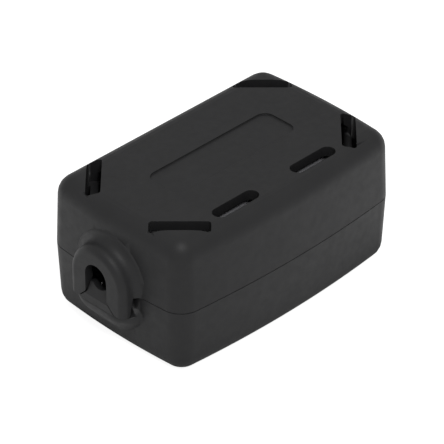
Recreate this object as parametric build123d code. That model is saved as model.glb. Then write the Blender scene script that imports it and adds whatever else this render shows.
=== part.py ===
from build123d import *
import math
import os

# Clip-on ferrite bead for a round lead: two moulded half housings that swing open on a film
# hinge, each holding one half of a split ferrite core. Sizes are in millimetres. While the
# pieces are made, X runs along the lead, Z is up and the parting plane is at zero.

# Ferrite core, split into two equal halves; the housing is built round it
CORE_LENGTH = 30.0
CORE_WIDTH = 15.0
CORE_HEIGHT = 7.5
CORE_CORNER_RADIUS = 0.6
CORE_EDGE = 0.35
CORE_BORE_RADIUS = 3.5
CORE_GAP = 0.04

# Room that the housing leaves round the core
CORE_SIDE_CLEARANCE = 0.25
CORE_SEAT_CLEARANCE = 0.05
END_SPACE = 3.0
SIDE_SPACE = 3.15

# Housing walls, their bows and rounding, and the seam between the halves
WALL = 1.5
SIDE_BOW = 1.15
END_BOW = 0.68
EDGE_RADIUS = 2.6
EDGE_BANDS = 6
CORNER_MARGIN = 0.45
INNER_EDGE = 0.8
UPPER_TAPER = 2.3
LOWER_TAPER = 2.6
SEAM = 0.1

# Cross ribs under the back of each core half
SEAT_RIB_HEIGHT = 0.88
SEAT_RIB_WIDTH = 1.2
SEAT_RIB_LENGTH = 11.0
SEAT_RIB_SPACING = 18.0

# Corner webs that hold the core, and the slanted slots that free their tips
WEB_THICKNESS = 1.05
WEB_SLOT_DEPTH = 3.63
WEB_SLOT_LENGTH = 7.85
WEB_SLOT_RADIUS = 0.5
WEB_SLOT_INNER_GAP = 0.5
WEB_SLOT_OUTER_GAP = 0.4

# Label pocket in the top face, left plain
POCKET_LENGTH = 21.8
POCKET_WIDTH = 6.0
POCKET_RADIUS = 1.5
POCKET_DEPTH = 0.22

# Latch arms on the lower half and the ledges that they catch
LATCH_SPACING = 14.0
LATCH_WIDTH = 6.2
LATCH_THICKNESS = 1.2
LATCH_FLEX_GAP = 1.25
LATCH_HEIGHT = 2.6
LATCH_NOSE = 0.5
LATCH_NOSE_LOW = 1.2
LATCH_NOSE_EDGE = 0.2
LEDGE_CLEARANCE = 0.25
LEDGE_HEIGHT = 0.85
LEDGE_WIDTH = 7.0

# Slots for the two-pronged release key, over the latch arms
KEY_SLOT_LENGTH = 7.6
KEY_SLOT_WIDTH = 2.1

# Snout round the lead at each end
SNOUT_LENGTH = 2.42
SNOUT_WIDTH = 9.8
SNOUT_WALL = 1.2
SNOUT_EDGE = 1.0
SNOUT_ROOT_RADIUS = 1.35
SNOUT_BANDS = 4
SNOUT_ROOT_SINK = 0.26
SNOUT_ARCH_HEIGHT = 0.85
LEAD_HOLE_RADIUS = 1.94
LEAD_HEIGHT = 1.46

# Legs of the snout, which hang past the seam on either side of the tongue
LEG_DROP = 2.65
LEG_SHOULDER = 1.35
LEG_SHOULDER_RADIUS = 0.8
LEG_TOP_THICKNESS = 1.75
LEG_TIP_THICKNESS = 1.25
LEG_CLEARANCE = 0.2
LEG_POCKET_CLEARANCE = 0.4

# Sprung tongue of the lower half, below the lead
TONGUE_BEND_DROP = 1.75
TONGUE_LEAN = 0.72
TONGUE_THICKNESS = 0.85
CAVITY_DEPTH = 3.2

# Chin of the lower half: the swelling under the snout, which fades into the end wall
CHIN_DEPTH = 3.0
CHIN_FALL = 5.0
CHIN_SINK = 0.36
CHIN_HALF_WIDTH = 6.3
CHIN_CORNER_RADIUS = 4.5
CHIN_BANDS = 6

# Film hinge lips along the far long side
HINGE_GAP = 0.35
LIP_THICKNESS = 0.3
LIP_OFFSET = 0.1
LIP_LENGTH = 8.0
LIP_SPACING = 18.0

BODY_LENGTH = CORE_LENGTH + 2 * (END_SPACE + WALL)
BODY_WIDTH = CORE_WIDTH + 2 * (SIDE_SPACE + WALL)
HALF_HEIGHT = CORE_HEIGHT + CORE_SEAT_CLEARANCE + SEAT_RIB_HEIGHT + WALL
CORNER_RADIUS = EDGE_RADIUS + CORNER_MARGIN
END_REACH = BODY_LENGTH / 2 + END_BOW
NEAR_REACH = BODY_WIDTH / 2 + SIDE_BOW
SNOUT_REACH = END_REACH + SNOUT_LENGTH
HINGE_Y = BODY_WIDTH / 2 + HINGE_GAP
LATCH_Y = -(CORE_WIDTH / 2 + LATCH_FLEX_GAP + LATCH_THICKNESS / 2)
FAR = 60.0

STANDING = (Align.CENTER, Align.CENTER, Align.MIN)
HANGING = (Align.CENTER, Align.CENTER, Align.MAX)


def both_sides(piece, spacing):
    """A piece and its copy, set apart along the lead."""
    return [Pos(side * spacing / 2, 0, 0) * piece for side in (-1, 1)]


def both_ends(piece):
    """A piece made for the minus X end, and its mirror image for the other end."""
    return [piece, mirror(piece, Plane.YZ)]


def outline():
    """Plan outline at the parting plane: straight on the hinge side, bowed on the others."""
    x = BODY_LENGTH / 2
    y = BODY_WIDTH / 2
    sides = [
        Line((x, y), (-x, y)),
        ThreePointArc((-x, y), (-END_REACH, 0), (-x, -y)),
        ThreePointArc((-x, -y), (0, -NEAR_REACH), (x, -y)),
        ThreePointArc((x, -y), (END_REACH, 0), (x, y)),
    ]
    face = make_face(sides)
    return fillet(face.vertices(), CORNER_RADIUS)


def section(inset, height):
    """The outline set in all round, at a height over the parting plane."""
    return Pos(0, 0, height) * (offset(outline(), -inset) if inset else outline())


def half_block(taper):
    """Solid outer form of one half: drafted walls, then bands that follow the edge rounding."""
    lean = math.radians(taper)
    round_height = HALF_HEIGHT - EDGE_RADIUS
    round_inset = round_height * math.tan(lean) + EDGE_RADIUS / math.cos(lean)
    sections = [section(0, 0)]
    for band in range(EDGE_BANDS + 1):
        angle = lean + (math.pi / 2 - lean) * band / EDGE_BANDS
        inset = round_inset - EDGE_RADIUS * math.cos(angle)
        sections.append(section(inset, round_height + EDGE_RADIUS * math.sin(angle)))
    return loft(sections, ruled=True)


def half_cavity(taper):
    """Space inside one half, a wall's thickness in from the outer form."""
    height = HALF_HEIGHT - WALL
    narrowing = height * math.tan(math.radians(taper))
    space = loft([section(WALL, 0), section(WALL + narrowing, height)], ruled=True)
    return chamfer(space.faces().sort_by(Axis.Z)[-1].edges(), INNER_EDGE)


def half_core():
    """Upper half of the ferrite core, with its half-round channel for the lead."""
    block = Box(CORE_LENGTH, CORE_WIDTH, CORE_HEIGHT, align=STANDING)
    block = fillet(block.edges().filter_by(Axis.Z), CORE_CORNER_RADIUS)
    block = chamfer(block.faces().sort_by(Axis.Z)[-1].edges(), CORE_EDGE)
    channel = Rot(0, 90, 0) * Cylinder(CORE_BORE_RADIUS, FAR)
    return block - channel - Box(FAR, FAR, CORE_GAP)


def web_inner_reach():
    """Slanted distance from the middle of the housing to the inside of a corner web."""
    corner = (CORE_LENGTH + CORE_WIDTH) / 2 / math.sqrt(2)
    rounding = CORE_CORNER_RADIUS * (math.sqrt(2) - 1)
    return corner - rounding + CORE_SIDE_CLEARANCE


def web_places():
    """The four corners, each as a place turned so that its own X points outwards."""
    along = (CORE_LENGTH - CORE_WIDTH) / 2 / math.sqrt(2)
    shifts = {45: -along, 135: along, 225: -along, 315: along}
    return [Rot(0, 0, angle) * Pos(0, shift, 0) for angle, shift in shifts.items()]


def corner_webs(outer):
    """Sprung webs across the four corners, which hold the core by its upright edges."""
    foot = SEAM * 3
    web = Box(
        WEB_THICKNESS,
        BODY_WIDTH,
        HALF_HEIGHT - WEB_SLOT_DEPTH - foot,
        align=(Align.MIN, Align.CENTER, Align.MIN),
    )
    return [(place * Pos(web_inner_reach(), 0, foot) * web) & outer for place in web_places()]


def web_slots():
    """Slots over the webs, open through the flat wall of the half."""
    inner = web_inner_reach() - WEB_SLOT_INNER_GAP
    width = WEB_SLOT_INNER_GAP + WEB_THICKNESS + WEB_SLOT_OUTER_GAP
    slot = extrude(RectangleRounded(width, WEB_SLOT_LENGTH, WEB_SLOT_RADIUS), HALF_HEIGHT)
    low = HALF_HEIGHT - WEB_SLOT_DEPTH
    return [place * Pos(inner + width / 2, 0, low) * slot for place in web_places()]


def seat_ribs():
    """Cross ribs that the flat back of the core half rests on."""
    root = WALL / 2
    rib = Box(SEAT_RIB_WIDTH, SEAT_RIB_LENGTH, SEAT_RIB_HEIGHT + root, align=HANGING)
    return both_sides(Pos(0, 0, HALF_HEIGHT - WALL + root) * rib, SEAT_RIB_SPACING)


def half_tray(taper):
    """One half housing without its snouts: walls, webs, slots and ribs, from the seam up."""
    outer = half_block(taper)
    tray = outer - half_cavity(taper)
    for piece in corner_webs(outer) + seat_ribs() + hinge_lips():
        tray += piece
    for slot in web_slots():
        tray -= slot
    return tray - Box(FAR, FAR, SEAM)


def hinge_lips():
    """Two short lips over the seam whose film joins the halves; they end on the hinge line."""
    root = BODY_WIDTH / 2 - WALL / 2
    align = (Align.CENTER, Align.MIN, Align.MIN)
    lip = Box(LIP_LENGTH, HINGE_Y - root, LIP_THICKNESS, align=align)
    return both_sides(Pos(0, root, LIP_OFFSET) * lip, LIP_SPACING)


def banded(arc):
    """Chords along an arc, so that the form turned from it has plain conical bands."""
    return Polyline(*[arc @ (band / SNOUT_BANDS) for band in range(SNOUT_BANDS + 1)])


def snout_profile():
    """Half plan of the snout at the minus X end: face, rounded edge, side and flared root."""
    side = SNOUT_WIDTH / 2
    edge_end = -SNOUT_REACH + SNOUT_EDGE
    root_end = -END_REACH + SNOUT_ROOT_SINK
    flare = side + SNOUT_ROOT_RADIUS
    inside = -BODY_LENGTH / 2 + WALL / 2
    edge = banded(CenterArc((edge_end, side - SNOUT_EDGE), SNOUT_EDGE, 90, 90))
    root = banded(CenterArc((root_end - SNOUT_ROOT_RADIUS, flare), SNOUT_ROOT_RADIUS, 270, 90))
    lines = [
        Line((inside, 0), (-SNOUT_REACH, 0)),
        Line((-SNOUT_REACH, 0), edge @ 1),
        edge,
        Line(edge @ 0, root @ 0),
        root,
        Line(root @ 1, (inside, flare)),
        Line((inside, flare), (inside, 0)),
    ]
    return make_face(lines)


def snout_block(low, high):
    """Straight-sided part of the snout between two heights."""
    half = Pos(0, 0, low) * extrude(snout_profile(), high - low)
    return half + mirror(half, Plane.XZ)


def snout_arch():
    """Rounded top of the snout, turned about the middle of its arch."""
    dome = revolve(snout_profile(), Axis.X, 360)
    return Pos(0, 0, SNOUT_ARCH_HEIGHT) * (dome & Box(FAR, FAR, FAR, align=STANDING))


def throat(shrink, low):
    """Opening through the snout's face: round over the lead, straight, then splayed below."""
    half = LEAD_HOLE_RADIUS - shrink
    splay = half - LEG_SHOULDER - low
    points = [(-half, LEAD_HEIGHT), (-half, -LEG_SHOULDER), (-splay, low)]
    points += [(splay, low), (half, -LEG_SHOULDER), (half, LEAD_HEIGHT)]
    face = make_face(Polyline(*points, close=True))
    shoulders = face.vertices().group_by(Axis.Y)[1]
    face = fillet(shoulders, LEG_SHOULDER_RADIUS) + Pos(0, LEAD_HEIGHT) * Circle(half)
    return extrude(Plane.YZ * face, FAR, both=True)


def hood():
    """Snout of the upper half: an arch over the lead, with two legs that hang past the seam."""
    top_back = -SNOUT_REACH + LEG_TOP_THICKNESS
    tip_back = -SNOUT_REACH + LEG_TIP_THICKNESS
    points = [(-FAR, SEAM), (top_back, SEAM), (top_back, 0), (tip_back, -LEG_DROP), (-FAR, -LEG_DROP)]
    side_view = extrude(Plane.XZ * make_face(Polyline(*points, close=True)), FAR, both=True)
    legs = snout_block(-LEG_DROP, SEAM) & side_view
    return snout_arch() + snout_block(0, SNOUT_ARCH_HEIGHT) + legs


def hood_hollow():
    """Space inside the snout of the upper half, behind its front wall."""
    front = -SNOUT_REACH + SNOUT_WALL
    back = -BODY_LENGTH / 2 + 2 * WALL
    radius = SNOUT_WIDTH / 2 - SNOUT_WALL
    low = -LEG_DROP - SNOUT_ARCH_HEIGHT
    face = Circle(radius) + Pos(0, low / 2) * Rectangle(2 * radius, -low)
    return Pos(front, 0, SNOUT_ARCH_HEIGHT) * extrude(Plane.YZ * face, back - front)


def chins():
    """Swellings under both snouts, lofted as one waved form and cut off inside the end walls."""
    rise = CHIN_DEPTH - SEAM / 2
    swell = SNOUT_LENGTH + CHIN_SINK
    sections = []
    for band in range(-CHIN_BANDS, CHIN_BANDS + 1):
        share = band / CHIN_BANDS
        height = share * (rise if band > 0 else CHIN_FALL) - CHIN_DEPTH
        inset = swell * (1 - math.cos(math.pi * share)) / 2
        length = 2 * (SNOUT_REACH - inset)
        width = 2 * (CHIN_HALF_WIDTH - inset)
        plan = RectangleRounded(length, width, CHIN_CORNER_RADIUS - inset)
        sections.append(Pos(0, 0, height) * plan)
    return loft(sections, ruled=True) - Box(BODY_LENGTH - WALL, FAR, FAR)


def tongue():
    """Sprung tongue that presses on the lead from below, leaning inwards, with its root."""
    front = -SNOUT_REACH
    back = front + TONGUE_THICKNESS
    low = -LEG_DROP - SEAM
    top = -SEAM / 2
    points = [(front, low), (front, -TONGUE_BEND_DROP), (front + TONGUE_LEAN, top)]
    points += [(back + TONGUE_LEAN, top), (back, -TONGUE_BEND_DROP), (back, low)]
    plate = extrude(Plane.XZ * make_face(Polyline(*points, close=True)), FAR, both=True)
    lead = Pos(0, 0, LEAD_HEIGHT) * Rot(0, 90, 0) * Cylinder(LEAD_HOLE_RADIUS, FAR)
    return (plate & throat(LEG_CLEARANCE, low)) - lead


def chin_hollow():
    """Space behind the tongue, open to the inside of the lower half."""
    front = -SNOUT_REACH + TONGUE_THICKNESS
    length = -BODY_LENGTH / 2 + 2 * WALL - front
    width = SNOUT_WIDTH - 2 * SNOUT_WALL - WALL / 2
    box = Box(length, width, 2 * CAVITY_DEPTH, align=(Align.MIN, Align.CENTER, Align.CENTER))
    return Pos(front, 0, 0) * box


def leg_pocket():
    """Room in the lower half for the legs of the upper half's snout."""
    back = -SNOUT_REACH + LEG_TOP_THICKNESS + SEAM
    width = SNOUT_WIDTH + 2 * LEG_POCKET_CLEARANCE
    box = Box(FAR, width, 2 * (LEG_DROP + SEAM), align=(Align.MAX, Align.CENTER, Align.CENTER))
    return Pos(back, 0, 0) * box


def key_slots():
    """Slots in the top for the release key, over the two latch arms."""
    slot = extrude(SlotOverall(KEY_SLOT_LENGTH, KEY_SLOT_WIDTH), 2 * WALL)
    return both_sides(Pos(0, LATCH_Y, HALF_HEIGHT - 1.5 * WALL) * slot, LATCH_SPACING)


def label_pocket():
    """Shallow plain pocket in the middle of the top face."""
    pocket = extrude(RectangleRounded(POCKET_LENGTH, POCKET_WIDTH, POCKET_RADIUS), WALL)
    return Pos(0, 0, HALF_HEIGHT - POCKET_DEPTH) * pocket


def catch_ledges(outer):
    """Ledges inside the near wall of the upper half, just over the seam."""
    inner_edge = LATCH_Y - LATCH_THICKNESS / 2 - LATCH_NOSE - LEDGE_CLEARANCE
    align = (Align.CENTER, Align.MAX, Align.MIN)
    ledge = Box(LEDGE_WIDTH, NEAR_REACH + inner_edge, LEDGE_HEIGHT, align=align)
    return [piece & outer for piece in both_sides(Pos(0, inner_edge, SEAM) * ledge, LATCH_SPACING)]


def latch_arms():
    """Sprung arms of the lower half, each with a hooked nose over a ledge when shut."""
    low = -HALF_HEIGHT + WALL / 2
    inner = LATCH_Y + LATCH_THICKNESS / 2
    outer = LATCH_Y - LATCH_THICKNESS / 2
    nose = outer - LATCH_NOSE
    points = [(inner, low), (inner, LATCH_HEIGHT), (outer, LATCH_HEIGHT)]
    points += [(nose, LATCH_NOSE_LOW + LATCH_NOSE_EDGE), (nose, LATCH_NOSE_LOW)]
    points += [(outer, LATCH_NOSE_LOW), (outer, low)]
    profile = Plane.YZ * make_face(Polyline(*points, close=True))
    return both_sides(extrude(profile, LATCH_WIDTH / 2, both=True), LATCH_SPACING)


def upper_housing():
    """Upper half: tray, label pocket, key slots, catch ledges and the two hoods."""
    shell = half_tray(UPPER_TAPER) - label_pocket()
    for slot in key_slots():
        shell -= slot
    for piece in catch_ledges(half_block(UPPER_TAPER)) + both_ends(hood()):
        shell += piece
    for hollow in both_ends(hood_hollow()):
        shell -= hollow
    return shell - throat(0, -LEG_DROP - SEAM)


def lower_housing():
    """Lower half: tray, chins with room for the legs, tongues and latch arms."""
    shell = mirror(half_tray(LOWER_TAPER), Plane.XY) + chins()
    for pocket in both_ends(leg_pocket()) + both_ends(chin_hollow()):
        shell -= pocket
    for piece in both_ends(tongue()) + latch_arms():
        shell += piece
    return shell


def place(piece):
    """Stand the finished piece on its base, with the middle of its outline at the origin."""
    return Pos(0, (NEAR_REACH - HINGE_Y) / 2, HALF_HEIGHT) * piece


def write(piece, node):
    """Put the piece in its place in the part and write it to its own file."""
    solids = place(piece).solids()
    print(node, len(solids), "solid", round(sum(solid.volume for solid in solids), 1), "mm3")
    export_step(solids[0] if len(solids) == 1 else Compound(children=solids), f"parts/{node}.step")


os.makedirs("parts", exist_ok=True)
write(upper_housing(), "upper_housing")
write(lower_housing(), "lower_housing")
write(half_core(), "upper_core")
write(mirror(half_core(), Plane.XY), "lower_core")
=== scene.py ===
import math
import bpy
import bmesh
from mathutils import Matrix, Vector


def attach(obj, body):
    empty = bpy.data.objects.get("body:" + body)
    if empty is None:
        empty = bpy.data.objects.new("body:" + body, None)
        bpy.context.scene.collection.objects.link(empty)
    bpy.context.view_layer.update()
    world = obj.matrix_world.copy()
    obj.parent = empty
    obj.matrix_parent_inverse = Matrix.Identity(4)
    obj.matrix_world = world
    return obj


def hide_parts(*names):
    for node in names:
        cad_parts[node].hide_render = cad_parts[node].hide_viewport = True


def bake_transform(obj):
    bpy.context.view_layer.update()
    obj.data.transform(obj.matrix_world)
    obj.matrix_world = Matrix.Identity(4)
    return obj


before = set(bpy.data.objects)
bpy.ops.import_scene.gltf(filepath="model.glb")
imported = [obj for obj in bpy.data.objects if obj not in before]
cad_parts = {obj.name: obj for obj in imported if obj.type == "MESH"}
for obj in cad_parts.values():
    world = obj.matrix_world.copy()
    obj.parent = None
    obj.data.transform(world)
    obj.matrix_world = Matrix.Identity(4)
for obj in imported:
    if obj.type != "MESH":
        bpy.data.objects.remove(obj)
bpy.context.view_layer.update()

# Camera. It stands a little above the bead, looks at its near corner, and aims a little below
# and beside the middle, as the photograph does. Lengths are in metres, in the model's frame.
scene = bpy.context.scene
scene.view_settings.view_transform = "Standard"

middle = Vector((0, 0.0004, 0.00993))
view_azimuth = math.radians(-45.0)
view_elevation = math.radians(34.93)
view_distance = 0.4264
towards_camera = Vector((
    math.sin(view_azimuth) * math.cos(view_elevation),
    -math.cos(view_azimuth) * math.cos(view_elevation),
    math.sin(view_elevation),
))
view_right = Vector((math.cos(view_azimuth), math.sin(view_azimuth), 0))
view_up = towards_camera.cross(view_right)
aim = middle - 0.000049 * view_right - 0.000827 * view_up

camera_data = bpy.data.cameras.new("camera")
camera_data.sensor_width = 36.0
camera_data.lens = 265.5
camera_data.clip_start = 0.05
camera_data.clip_end = 20.0
camera = bpy.data.objects.new("camera", camera_data)
camera.location = middle + towards_camera * view_distance
camera.rotation_euler = (aim - camera.location).to_track_quat("-Z", "Y").to_euler()
scene.collection.objects.link(camera)
scene.camera = camera


def linear(hex_colour):
    """Linear colour for an sRGB hex value."""
    channels = [int(hex_colour[i:i + 2], 16) / 255 for i in (1, 3, 5)]
    return [c / 12.92 if c <= 0.04045 else ((c + 0.055) / 1.055) ** 2.4 for c in channels] + [1.0]


def add_node(tree, kind, links=(), **settings):
    """Adds a node, sets its sockets and properties by name, and links (socket, source) pairs."""
    node = tree.nodes.new(kind)
    for name, value in settings.items():
        if hasattr(node, name):
            setattr(node, name, value)
        else:
            node.inputs[name.replace("_", " ")].default_value = value
    for socket, source in links:
        tree.links.new(source, node.inputs[socket])
    return node


# Floor. Pale studio paper, matt, that shows white to the camera. In mirrored rays it glows with
# painted light, brighter behind the bead than before it: a painted stand-in for a lamp behind the
# bead whose shadow falls forward. A painted shadow darkens that glow at the bead's foot.
floor_size = 3.0
white_to_camera = 0.88
glow_before, glow_behind = 0.06, 0.46
glow_from, glow_to = -0.032, 0.012
bead_half_length, bead_half_width = 0.0195, 0.0125
shade_from, shade_to = 0.0005, 0.004
floor_mesh = bpy.data.meshes.new("floor")
half = floor_size / 2
floor_mesh.from_pydata(
    [(-half, -half, 0), (half, -half, 0), (half, half, 0), (-half, half, 0)], [], [(0, 1, 2, 3)]
)
floor = bpy.data.objects.new("floor", floor_mesh)
scene.collection.objects.link(floor)

paper = bpy.data.materials.new("studio_paper_painted_glow")
paper.use_nodes = True
tree = paper.node_tree
tree.nodes.clear()
place = add_node(tree, "ShaderNodeTexCoord")
depth = add_node(
    tree, "ShaderNodeVectorMath", operation="DOT_PRODUCT", links=[(0, place.outputs["Object"])]
)
depth.inputs[1].default_value = (0.707, 0.707, 0.0)
# Painted light: the mirrored glow rises from before the bead to behind it, standing in for a lamp
# behind the bead and the shadow the bead casts forward.
grade = add_node(
    tree,
    "ShaderNodeMapRange",
    links=[("Value", depth.outputs["Value"])],
    From_Min=glow_from,
    From_Max=glow_to,
    To_Min=glow_before,
    To_Max=glow_behind,
)
from_middle = add_node(
    tree, "ShaderNodeVectorMath", operation="ABSOLUTE", links=[(0, place.outputs["Object"])]
)
from_sides = add_node(
    tree, "ShaderNodeVectorMath", operation="SUBTRACT", links=[(0, from_middle.outputs[0])]
)
from_sides.inputs[1].default_value = (bead_half_length, bead_half_width, 0.0)
along = add_node(tree, "ShaderNodeSeparateXYZ", links=[(0, from_sides.outputs[0])])
from_foot = add_node(
    tree, "ShaderNodeMath", operation="MAXIMUM", links=[(0, along.outputs[0]), (1, along.outputs[1])]
)
# Painted shadow: the mirrored glow fades to nothing at the bead's foot.
foot_shade = add_node(
    tree,
    "ShaderNodeMapRange",
    links=[("Value", from_foot.outputs[0])],
    From_Min=shade_from,
    From_Max=shade_to,
    To_Min=0.0,
    To_Max=1.0,
)
glow = add_node(
    tree,
    "ShaderNodeMath",
    operation="MULTIPLY",
    links=[(0, grade.outputs["Result"]), (1, foot_shade.outputs["Result"])],
)
path = add_node(tree, "ShaderNodeLightPath")
strength = add_node(
    tree,
    "ShaderNodeMix",
    data_type="FLOAT",
    links=[("Factor", path.outputs["Is Camera Ray"]), ("A", glow.outputs[0])],
    B=white_to_camera,
)
lit_rays = add_node(
    tree,
    "ShaderNodeMath",
    operation="MAXIMUM",
    links=[(0, path.outputs["Is Camera Ray"]), (1, path.outputs["Is Glossy Ray"])],
)
matt = add_node(tree, "ShaderNodeBsdfDiffuse", Color=linear("#c8c8c8"))
lit = add_node(
    tree,
    "ShaderNodeEmission",
    links=[("Strength", strength.outputs["Result"])],
    Color=linear("#ffffff"),
)
shown = add_node(tree, "ShaderNodeAddShader", links=[(0, matt.outputs[0]), (1, lit.outputs[0])])
mixed = add_node(
    tree,
    "ShaderNodeMixShader",
    links=[(0, lit_rays.outputs[0]), (1, matt.outputs[0]), (2, shown.outputs[0])],
)
add_node(tree, "ShaderNodeOutputMaterial", links=[(0, mixed.outputs[0])])
floor_mesh.materials.append(paper)

# Room and lamps. The room is even and shows white to the camera. A soft lamp hangs overhead, and
# a smaller one in front reaches into the slots; the part doesn't mirror that one.
world = bpy.data.worlds.new("studio")
scene.world = world
world.use_nodes = True
tree = world.node_tree
tree.nodes.clear()
path = add_node(tree, "ShaderNodeLightPath")
around = add_node(tree, "ShaderNodeBackground", Color=linear("#ffffff"), Strength=0.36)
seen = add_node(tree, "ShaderNodeBackground", Color=linear("#ffffff"), Strength=1.0)
mixed = add_node(
    tree,
    "ShaderNodeMixShader",
    links=[(0, path.outputs["Is Camera Ray"]), (1, around.outputs[0]), (2, seen.outputs[0])],
)
add_node(tree, "ShaderNodeOutputWorld", links=[(0, mixed.outputs[0])])


def softbox(name, place, size, watts, mirrored_in_part=True):
    """Rectangular lamp that points at the bead."""
    lamp = bpy.data.lights.new(name, "AREA")
    lamp.shape = "RECTANGLE"
    lamp.size, lamp.size_y = size
    lamp.energy = watts
    obj = bpy.data.objects.new(name, lamp)
    obj.location = place
    obj.visible_glossy = mirrored_in_part
    obj.rotation_euler = (middle - obj.location).to_track_quat("-Z", "Y").to_euler()
    scene.collection.objects.link(obj)


softbox("key_softbox", Vector((-0.15, -0.21, 0.60)), (0.25, 0.25), 0.65)
softbox(
    "front_softbox", Vector((-0.24, -0.42, 0.52)), (0.12, 0.12), 1.4, mirrored_in_part=False
)


# Housing halves. Each is one shell moulded in black polyamide, drafted so that it leaves its
# tool, with sprung webs, tongues and latch arms in the same shot. The tool was spark eroded,
# which leaves an even, very fine grain that spreads the light over the flat faces.
def black_polyamide():
    """PA66, unfilled and black: a satin surface with a fine grain and slightly uneven gloss."""
    # The real grain is finer than a render can show, so it is drawn at 6 to a millimetre. The
    # rims are rounded by 0.08 mm, which the shading alone shows. The tone drifts over 4 to 5 mm.
    clouds_per_mm, patches_per_mm, grains_per_mm = 0.22, 0.9, 6.0
    rim_radius = 0.00008
    material = bpy.data.materials.new("moulded_black_polyamide")
    material.use_nodes = True
    tree = material.node_tree
    shader = tree.nodes["Principled BSDF"]
    shader.inputs["IOR"].default_value = 1.53
    place = add_node(tree, "ShaderNodeTexCoord")
    in_mm = add_node(
        tree,
        "ShaderNodeVectorMath",
        operation="SCALE",
        links=[(0, place.outputs["Object"])],
        Scale=1000.0,
    )
    cloud = add_node(
        tree, "ShaderNodeTexNoise", links=[(0, in_mm.outputs[0])], Scale=clouds_per_mm, Detail=3.0
    )
    tone = add_node(
        tree,
        "ShaderNodeMix",
        data_type="RGBA",
        links=[("Factor", cloud.outputs["Fac"])],
    )
    tone.inputs[6].default_value = linear("#222223")
    tone.inputs[7].default_value = linear("#29292a")
    tree.links.new(tone.outputs[2], shader.inputs["Base Color"])
    patch = add_node(
        tree, "ShaderNodeTexNoise", links=[(0, in_mm.outputs[0])], Scale=patches_per_mm, Detail=4.0
    )
    gloss = add_node(
        tree,
        "ShaderNodeMapRange",
        links=[("Value", patch.outputs["Fac"])],
        From_Min=0.3,
        From_Max=0.7,
        To_Min=0.44,
        To_Max=0.54,
    )
    tree.links.new(gloss.outputs["Result"], shader.inputs["Roughness"])
    grain = add_node(
        tree, "ShaderNodeTexNoise", links=[(0, in_mm.outputs[0])], Scale=grains_per_mm, Detail=2.0
    )
    rim = add_node(tree, "ShaderNodeBevel", samples=6, Radius=rim_radius)
    bump = add_node(
        tree,
        "ShaderNodeBump",
        links=[("Height", grain.outputs["Fac"]), ("Normal", rim.outputs["Normal"])],
        Strength=0.35,
        Distance=0.00003,
    )
    tree.links.new(bump.outputs["Normal"], shader.inputs["Normal"])
    return material


def shaded_copy(node, name, body, material):
    """Joined copy of a CAD node that stands for it, with even shading over its flat faces."""
    same_point = 1e-7
    flat_within, sharp_from = math.radians(0.3), math.radians(32)
    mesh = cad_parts[node].data.copy()
    shell = bmesh.new()
    shell.from_mesh(mesh)
    bmesh.ops.remove_doubles(shell, verts=shell.verts, dist=same_point)
    bmesh.ops.dissolve_limit(shell, angle_limit=flat_within, verts=shell.verts, edges=shell.edges)
    shell.to_mesh(mesh)
    shell.free()
    mesh.materials.clear()
    mesh.materials.append(material)
    mesh.shade_smooth()
    mesh.set_sharp_from_angle(angle=sharp_from)
    rough = bpy.data.objects.new(name, mesh)
    scene.collection.objects.link(rough)
    weighted = rough.modifiers.new("even_flats", "WEIGHTED_NORMAL")
    weighted.mode = "FACE_AREA"
    weighted.keep_sharp = True
    weighted.weight = 50
    graph = bpy.context.evaluated_depsgraph_get()
    finished = bpy.data.meshes.new_from_object(rough.evaluated_get(graph))
    rough.modifiers.clear()
    rough.data = finished
    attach(rough, body)
    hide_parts(node)


plastic = black_polyamide()
shaded_copy("upper_housing", "upper_shell", "upper", plastic)
shaded_copy("lower_housing", "lower_shell", "lower", plastic)
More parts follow.
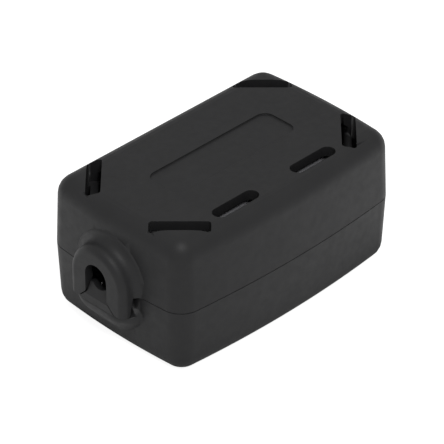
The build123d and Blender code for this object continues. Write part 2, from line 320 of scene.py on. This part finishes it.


# Film hinge straps. Two thin flaps of the same polyamide, moulded in one shot with both halves,
# that join their lips at the far side; they lie in a half turn round the hinge line and open
# flat as the lid turns. Each is drawn here as a fixed half turn round the hinge line.
strap_half_length = 0.004
strap_inner, strap_outer = 0.0001, 0.0004
hinge_y, hinge_z = 0.0129, 0.00993
strap_steps = 12
for strap_x, strap_name in ((-0.009, "left_film_hinge"), (0.009, "right_film_hinge")):
    corners = []
    for step in range(strap_steps + 1):
        turn = math.radians(-90 + 180 * step / strap_steps)
        for x in (strap_x - strap_half_length, strap_x + strap_half_length):
            for radius in (strap_inner, strap_outer):
                corners.append(
                    (x, hinge_y + radius * math.cos(turn), hinge_z + radius * math.sin(turn))
                )
    faces = [(0, 1, 3, 2)]
    for step in range(strap_steps):
        a, b = 4 * step, 4 * step + 4
        faces += [
            (a, a + 2, b + 2, b),
            (a + 1, b + 1, b + 3, a + 3),
            (a, b, b + 1, a + 1),
            (a + 2, a + 3, b + 3, b + 2),
        ]
    a = 4 * strap_steps
    faces.append((a, a + 2, a + 3, a + 1))
    strap_mesh = bpy.data.meshes.new(strap_name)
    strap_mesh.from_pydata(corners, [], faces)
    strap_mesh.materials.append(plastic)
    strap_mesh.shade_smooth()
    strap_mesh.set_sharp_from_angle(angle=math.radians(32))
    strap = bpy.data.objects.new(strap_name, strap_mesh)
    scene.collection.objects.link(strap)
    radius = (strap_inner + strap_outer) / 2
    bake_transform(strap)


# Core halves. Pressed and sintered ferrite, a hard grey ceramic; the faces that meet are ground
# flat, which leaves faint lines along the core.
def sintered_ferrite():
    """Manganese-zinc or nickel-zinc ferrite: grey, dull, with a fine speckle of grains."""
    # The grains and the lines of the grinding wheel are finer on the real core. They are drawn at
    # 5 and 9 to a millimetre, which still shows only from close by.
    grains_per_mm, lines_per_mm, line_stretch = 5.0, 9.0, 20
    material = bpy.data.materials.new("ground_sintered_ferrite")
    material.use_nodes = True
    tree = material.node_tree
    shader = tree.nodes["Principled BSDF"]
    shader.inputs["IOR"].default_value = 1.9
    place = add_node(tree, "ShaderNodeTexCoord")
    in_mm = add_node(
        tree,
        "ShaderNodeVectorMath",
        operation="SCALE",
        links=[(0, place.outputs["Object"])],
        Scale=1000.0,
    )
    speckle = add_node(
        tree, "ShaderNodeTexNoise", links=[(0, in_mm.outputs[0])], Scale=grains_per_mm, Detail=6.0
    )
    tone = add_node(
        tree,
        "ShaderNodeMix",
        data_type="RGBA",
        links=[("Factor", speckle.outputs["Fac"])],
    )
    tone.inputs[6].default_value = linear("#7c7c80")
    tone.inputs[7].default_value = linear("#a2a2a6")
    tree.links.new(tone.outputs[2], shader.inputs["Base Color"])
    stretched = add_node(
        tree,
        "ShaderNodeVectorMath",
        operation="MULTIPLY",
        links=[(0, in_mm.outputs[0])],
    )
    stretched.inputs[1].default_value = (1 / line_stretch, 1.0, 1.0)
    lines = add_node(
        tree, "ShaderNodeTexNoise", links=[(0, stretched.outputs[0])], Scale=lines_per_mm, Detail=3.0
    )
    gloss = add_node(
        tree,
        "ShaderNodeMapRange",
        links=[("Value", lines.outputs["Fac"])],
        From_Min=0.3,
        From_Max=0.7,
        To_Min=0.36,
        To_Max=0.52,
    )
    tree.links.new(gloss.outputs["Result"], shader.inputs["Roughness"])
    bump = add_node(
        tree,
        "ShaderNodeBump",
        links=[("Height", lines.outputs["Fac"])],
        Strength=0.3,
        Distance=0.00001,
    )
    tree.links.new(bump.outputs["Normal"], shader.inputs["Normal"])
    return material


ferrite = sintered_ferrite()
shaded_copy("upper_core", "upper_ferrite", "upper", ferrite)
shaded_copy("lower_core", "lower_ferrite", "lower", ferrite)
